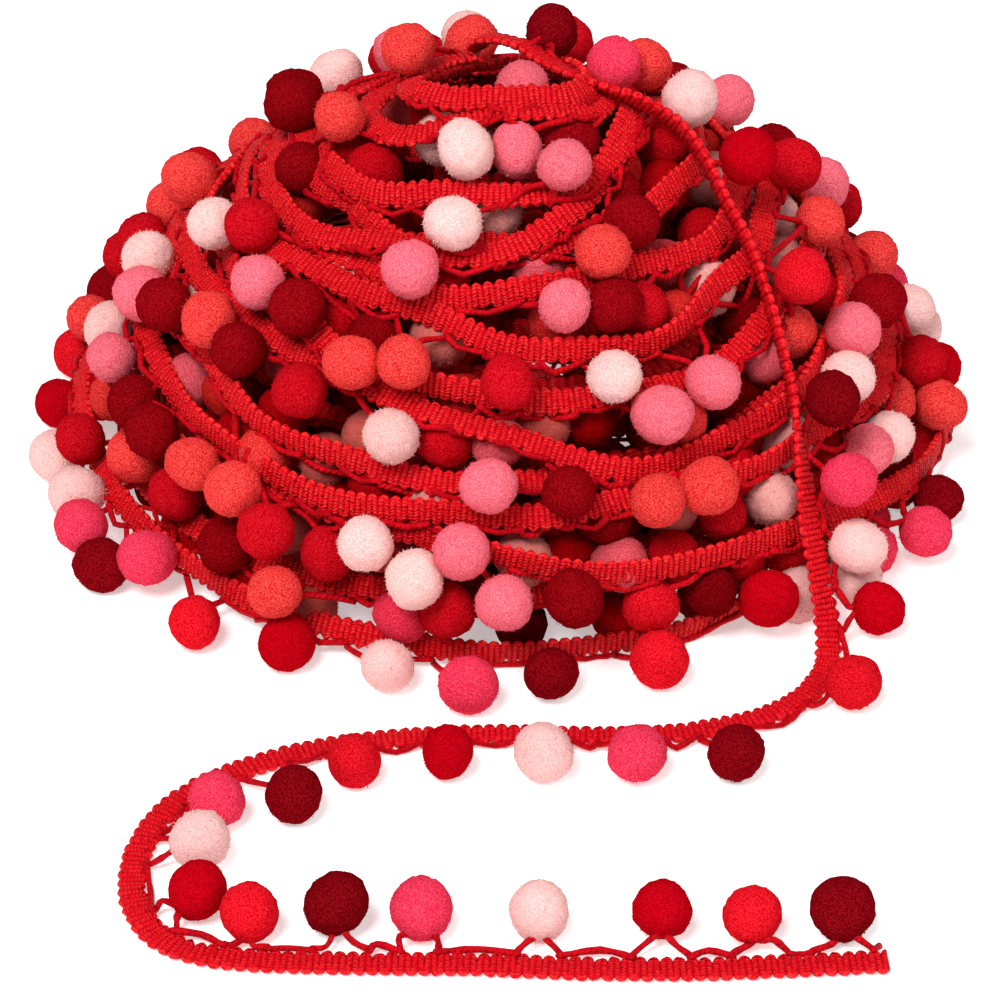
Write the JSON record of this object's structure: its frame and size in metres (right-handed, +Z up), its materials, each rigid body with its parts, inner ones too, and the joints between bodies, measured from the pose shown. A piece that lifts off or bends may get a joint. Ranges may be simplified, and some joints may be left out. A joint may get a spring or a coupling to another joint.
{
  "type": "roll of pompom trim",
  "caption": "Loose dome-shaped heap of narrow red gimp braid edged with small yarn pompoms, its free end laid in an S on the floor in front",
  "frame": {"origin": "centre of the flat spot under the heap, on the surface it rests on", "axes": "+Z up, -Y towards the free end laid out in front of the heap, +X to the right seen from that side"},
  "size_m": [0.1766, 0.2485, 0.0925],
  "materials": {
    "heap": "wound red gimp braid with mixed red and pink pompoms, matt yarn",
    "braid": "ribbed viscose gimp braid, soft low sheen",
    "hanger_cord": "thin twisted cord, matt",
    "burgundy_pompom": "dense cut yarn pile, velvety matt",
    "red_pompom": "dense cut yarn pile, velvety matt",
    "coral_pompom": "dense cut yarn pile, velvety matt",
    "hot_pink_pompom": "dense cut yarn pile, velvety matt",
    "pale_pink_pompom": "dense cut yarn pile, velvety matt"
  },
  "bodies": {
    "root": {"wound_heap": "heap", "tail_band": "braid", "tail_hanger_cord": "hanger_cord", "tail_pompom_01": "burgundy_pompom", "tail_pompom_02": "hot_pink_pompom", "tail_pompom_03": "pale_pink_pompom", "tail_pompom_04": "red_pompom", "tail_pompom_05": "coral_pompom", "tail_pompom_06": "burgundy_pompom", "tail_pompom_07": "hot_pink_pompom", "tail_pompom_08": "pale_pink_pompom", "tail_pompom_09": "red_pompom", "tail_pompom_10": "coral_pompom", "tail_pompom_11": "burgundy_pompom", "tail_pompom_12": "hot_pink_pompom", "tail_pompom_13": "pale_pink_pompom", "tail_pompom_14": "red_pompom", "tail_pompom_15": "coral_pompom", "tail_pompom_16": "burgundy_pompom", "tail_pompom_17": "hot_pink_pompom", "tail_pompom_18": "pale_pink_pompom", "tail_pompom_19": "red_pompom", "tail_pompom_20": "coral_pompom", "tail_pompom_21": "burgundy_pompom", "tail_pompom_22": "hot_pink_pompom", "tail_pompom_23": "pale_pink_pompom", "tail_pompom_24": "red_pompom", "tail_pompom_25": "coral_pompom", "tail_pompom_26": "burgundy_pompom"}
  },
  "joints": []
}
